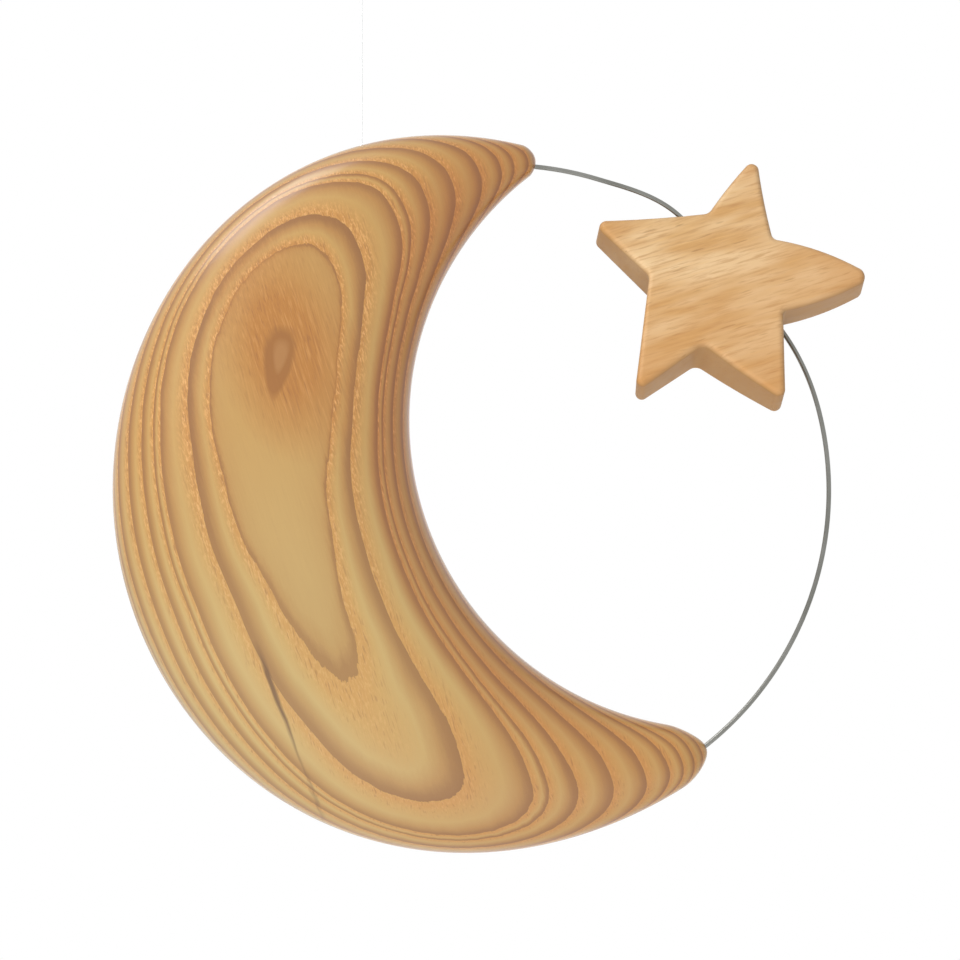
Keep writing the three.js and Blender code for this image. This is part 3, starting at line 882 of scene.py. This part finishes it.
# Star. It is sawn from a ten-millimetre ash board, two of its notches a little on the skew, with
# its tips and edges rounded by sanding. A straight hole from notch to notch takes the wire, so
# the star can turn on it, and at rest its face leans back.
star_thickness = 10 * mm
star_edge_rounding = 1.3 * mm
star_hole_off_centre = 4.51 * mm
star_slide_on_hole = 2.98 * mm
star_lean_back = math.radians(20.3)
star_turn = math.radians(3)
corner_steps = 12
side_steps = 10
edge_steps = 9
rim_width = 0.3 * mm
least_corner_rounding = 0.15 * mm
star_sharp_angle = math.radians(35)
star_grain_angle = math.radians(18)
star_pale = colour(248, 216, 168)
star_golden = colour(216, 168, 108)
star_band_noise = {"stretch": (5, 1, 2), "scale": 240, "roughness": 0.55}
star_band_span = (0.35, 0.65)
star_streak = colour(196, 146, 94)
star_streak_noise = {"stretch": (11, 1, 2), "scale": 1700, "detail": 3, "roughness": 0.6}
brown_streak_span = (0.5, 0.32, 0, 0.6)
golden_streak_span = (0.55, 0.72, 0, 0.4)
star_dash_noise = {"middle": (0.3, 0.2, 0.1), "stretch": (9, 1, 1.5), "scale": 2100, "detail": 0}
brown_dash_span = (0.73, 0.82, 0, 0.4)
star_tip = colour(208, 148, 84)
pale_tip_place = (-16 * mm, 24 * mm)
lower_tips_span = (10 * mm, 50 * mm, 0, 0.65)
all_tips_span = (19 * mm, 32 * mm, 0, 0.5)
star_wall_painted_shade = colour(162, 120, 68)
star_wall_shade_span = (4.8 * mm, 4 * mm, 0, 0.75)
star_roughness = (0.45, 0.6)
star_relief = 0.03 * mm

# The corners go round from the upper tip, by turns a tip and a notch, in millimetres and degrees.
# A back shift is how far the back face's corner is off the front face's.
star_corners = [
    {"reach": 31.3, "angle": 77.6, "rounding": 1.5, "bow": 0.2, "back_shift": (0, 0)},
    {"reach": 17.3, "angle": 102.7, "rounding": 2.4, "bow": -0.2, "back_shift": (0, 0)},
    {"reach": 32.2, "angle": 152.3, "rounding": 1.5, "bow": 0, "back_shift": (0, 0)},
    {"reach": 17.2, "angle": 169.5, "rounding": 2.2, "bow": 0, "back_shift": (3, -4.3)},
    {"reach": 31.2, "angle": 229.1, "rounding": 1.3, "bow": 0, "back_shift": (0, 0)},
    {"reach": 13.8, "angle": 245.3, "rounding": 2.2, "bow": 0.2, "back_shift": (-1.1, -1.8)},
    {"reach": 27.7, "angle": 292.9, "rounding": 1.5, "bow": 0, "back_shift": (0, 0)},
    {"reach": 12.3, "angle": 334.6, "rounding": 1.2, "bow": 0.6, "back_shift": (0, 0)},
    {"reach": 32.5, "angle": 4.9, "rounding": 2.1, "bow": 0.8, "back_shift": (0.4, 0.4)},
    {"reach": 14.8, "angle": 50.1, "rounding": 1.6, "bow": -0.2, "back_shift": (0, 0)},
]

star_place = (
    Matrix.Translation(star_hole_middle)
    @ Matrix.Rotation(star_turn, 4, "Z") @ Matrix.Rotation(math.pi / 2 - star_lean_back, 4, "X"))
hole_in_star = star_place.to_3x3().inverted() @ hole_direction
hole_along = Vector((hole_in_star.x, hole_in_star.y)).normalized()
hole_across = Vector((-hole_along.y, hole_along.x))
star_centre = hole_along * star_slide_on_hole - hole_across * star_hole_off_centre


def squared(way):
    return Vector((-way.y, way.x))


def star_corners_at(depth_share, inset):
    # The ten corners about the star's centre, each moved inwards by the inset.
    corners = []
    for corner in star_corners:
        angle = math.radians(corner["angle"])
        place = Vector((math.cos(angle), math.sin(angle))) * corner["reach"]
        corners.append((place + Vector(corner["back_shift"]) * depth_share) * mm)
    moved = []
    for index, corner in enumerate(corners):
        into = squared((corner - corners[index - 1]).normalized())
        out = squared((corners[(index + 1) % len(corners)] - corner).normalized())
        inward = (into + out).normalized()
        moved.append(corner + inward * inset / inward.dot(out))
    return moved


def rounded_corner(corners, index, inset):
    # The arc that rounds one corner, outwards at a tip and inwards at a notch.
    corner = corners[index]
    before = (corners[index - 1] - corner).normalized()
    after = (corners[(index + 1) % len(corners)] - corner).normalized()
    half_angle = before.angle(after) / 2
    side = 1 if index % 2 == 0 else -1
    rounding = max(star_corners[index]["rounding"] * mm - side * inset, least_corner_rounding)
    middle = corner + (before + after).normalized() * rounding / math.sin(half_angle)
    start = corner + before * rounding / math.tan(half_angle) - middle
    sweep = (math.pi - 2 * half_angle) * side
    return [
        middle + Matrix.Rotation(sweep * step / corner_steps, 2) @ start
        for step in range(corner_steps + 1)]


def star_section(height, inset):
    corners = star_corners_at(0.5 - height / star_thickness, inset)
    arcs = [rounded_corner(corners, index, inset) for index in range(len(corners))]
    outline = []
    for index, arc in enumerate(arcs):
        start, end = arc[-1], arcs[(index + 1) % len(arcs)][0]
        outwards = -squared((end - start).normalized())
        outline += arc
        for step in range(1, side_steps):
            share = step / side_steps
            bow = star_corners[index]["bow"] * mm * 4 * share * (1 - share)
            outline.append(start.lerp(end, share) + outwards * bow)
    rise = star_place.to_3x3() @ Vector((0, 0, height))
    return [star_place @ (star_centre + point).to_3d() + rise for point in outline]


def star_sections():
    # From the back face to the front one, each face with a flat rim inside its rounded edge.
    half = star_thickness / 2
    sections = []
    for side in (-1, 1):
        rounded = []
        for step in range(edge_steps + 1):
            turn = step / edge_steps * math.pi / 2
            height = half - star_edge_rounding * (1 - math.cos(turn))
            rounded.append(star_section(side * height, star_edge_rounding * (1 - math.sin(turn))))
        rounded.insert(0, star_section(side * half, star_edge_rounding + rim_width))
        sections += rounded if side < 0 else rounded[::-1]
    return sections


def star_ash():
    material, tree, shader = new_material("star_ash")
    way = (star_place.to_3x3() @ Matrix.Rotation(star_grain_angle, 3, "Z")).to_euler()
    middle = star_place @ star_centre.to_3d()
    band = grain_noise(tree, way, middle, **star_band_noise)
    wood = mixed(tree, spread(tree, band, *star_band_span), star_golden, star_pale)
    streak = grain_noise(tree, way, **star_streak_noise)
    wood = mixed(tree, spread(tree, streak, *brown_streak_span), wood, star_streak)
    wood = mixed(tree, spread(tree, streak, *golden_streak_span), wood, glint_gold)
    dashes = spread(tree, grain_noise(tree, way, **star_dash_noise), *brown_dash_span)
    wood = mixed(tree, dashes, wood, pore_brown)

    # The lower tips are more orange, and the sawn side walls are darkened with painted shade.
    pale_tip = star_place @ (star_centre + Vector(pale_tip_place)).to_3d()
    lower_tips = spread(tree, distance_from(tree, pale_tip), *lower_tips_span)
    wood = mixed(tree, lower_tips, wood, star_tip)
    all_tips = spread(tree, distance_from(tree, middle), *all_tips_span)
    wood = mixed(tree, all_tips, wood, star_tip)
    # Painted shade: away from the front and back faces, the side walls are darker.
    _, _, z = split_place(tree, turned_place(tree, middle, way))
    edges = spread(tree, maths(tree, "ABSOLUTE", z), *star_wall_shade_span)
    wood = mixed(tree, edges, wood, star_wall_painted_shade)

    feed(tree, shader.inputs["Base Color"], wood)
    height = maths(tree, "SUBTRACT", streak, dashes)
    finish_surface(tree, shader, streak, star_roughness, height, star_relief)
    return material


hole_reach = hole_direction * (star_hole_half_length + drill_run_out)
star_hole_radius = wire_radius + star_hole_clearance
star_hole = (star_hole_middle - hole_reach, star_hole_middle + hole_reach, star_hole_radius)
star_mesh = drill(drawn_through("threaded_star", star_sections()), [star_hole], star_sharp_angle)
put("threaded_star", star_mesh, "star", "star_ash", star_ash(), "star")


# Glue and buried line end. The line's end is knotted and set in a plug of wood glue, down in
# the hole in the moon's top edge. Only the plug's top shows, from above.
glue_pale = colour(214, 190, 140)
glue_dark = colour(190, 160, 108)
glue_noise = {"scale": 900, "detail": 2}
glue_roughness = (0.3, 0.5)
glue_relief = 0.05 * mm


def wood_glue():
    material, tree, shader = new_material("wood_glue")
    cloud = noise(tree, object_place(tree), **glue_noise)
    feed(tree, shader.inputs["Base Color"], mixed(tree, cloud, glue_pale, glue_dark))
    finish_surface(tree, shader, cloud, glue_roughness, cloud, glue_relief)
    return material


for node, material in (("line_end", nylon), ("glue_plug", wood_glue())):
    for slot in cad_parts[node].material_slots:
        slot.material = material


# Floor and light. A pale floor lies below the view. A soft lamp stands in front on the left, one
# overhead gives the moon's upper edge its sheen, a weak one below is the light that a white table
# throws back, and one lights the back. Sky and floor are seen paler than they light the wood.
white = (1.0, 1.0, 1.0)
floor_size = 4.0
floor_cells = 8
floor_middle = (0.02, 0.15, -0.45)
floor_grey = (0.86, 0.86, 0.86)
floor_roughness = 0.9
floor_glow = 0.4
sky_strength = 1.0
sky_fill = 0.35
lamp_aim = Vector((0.025, 0, -0.13))
lamps = [
    {"name": "key_lamp", "place": (-0.7, -1.2, 0.35), "size": 0.8, "power": 7.1, "mirrored": False},
    {"name": "rim_lamp", "place": (-0.69, -0.32, 0.91), "size": 0.65, "power": 6.6, "mirrored": True},
    {"name": "bounce_lamp", "place": (0.1, -0.3, -0.44), "size": 0.5, "power": 1.0, "mirrored": False},
    {"name": "back_lamp", "place": (0.7, 1.3, 0.5), "size": 1.2, "power": 9.0, "mirrored": False},
]


def seen_share(tree):
    # One where the background itself is seen, directly, mirrored or through the line.
    rays = tree.nodes.new("ShaderNodeLightPath").outputs
    seen = maths(tree, "ADD", rays["Is Camera Ray"], rays["Is Glossy Ray"])
    return maths(tree, "ADD", seen, rays["Is Transmission Ray"], limited=True)


def pale_floor():
    material, tree, shader = new_material("pale_floor")
    feed(tree, shader.inputs["Base Color"], floor_grey)
    feed(tree, shader.inputs["Roughness"], floor_roughness)
    feed(tree, shader.inputs["Emission Color"], white)
    feed(tree, shader.inputs["Emission Strength"], times(tree, seen_share(tree), floor_glow))
    return material


floor_shape = bmesh.new()
bmesh.ops.create_grid(
    floor_shape, x_segments=floor_cells, y_segments=floor_cells, size=floor_size / 2,
    matrix=Matrix.Translation(floor_middle))
floor_mesh = bpy.data.meshes.new("floor")
floor_shape.to_mesh(floor_mesh)
floor_shape.free()
floor_mesh.materials.append(pale_floor())
floor = bpy.data.objects.new("floor", floor_mesh)
bpy.context.scene.collection.objects.link(floor)

for lamp in lamps:
    place = Vector(lamp["place"])
    light = bpy.data.lights.new(lamp["name"], "AREA")
    light.size = lamp["size"]
    light.energy = lamp["power"]
    stand = bpy.data.objects.new(lamp["name"], light)
    stand.location = place
    stand.visible_glossy = lamp["mirrored"]
    stand.rotation_euler = (lamp_aim - place).to_track_quat("-Z", "Y").to_euler()
    bpy.context.scene.collection.objects.link(stand)

world = bpy.data.worlds.new("studio")
world.use_nodes = True
sky = world.node_tree
sky_light = sky.nodes["Background"]
feed(sky, sky_light.inputs["Color"], white)
feed(sky, sky_light.inputs["Strength"], spread(sky, seen_share(sky), 0, 1, sky_fill, sky_strength))
bpy.context.scene.world = world


bpy.context.view_layer.update()
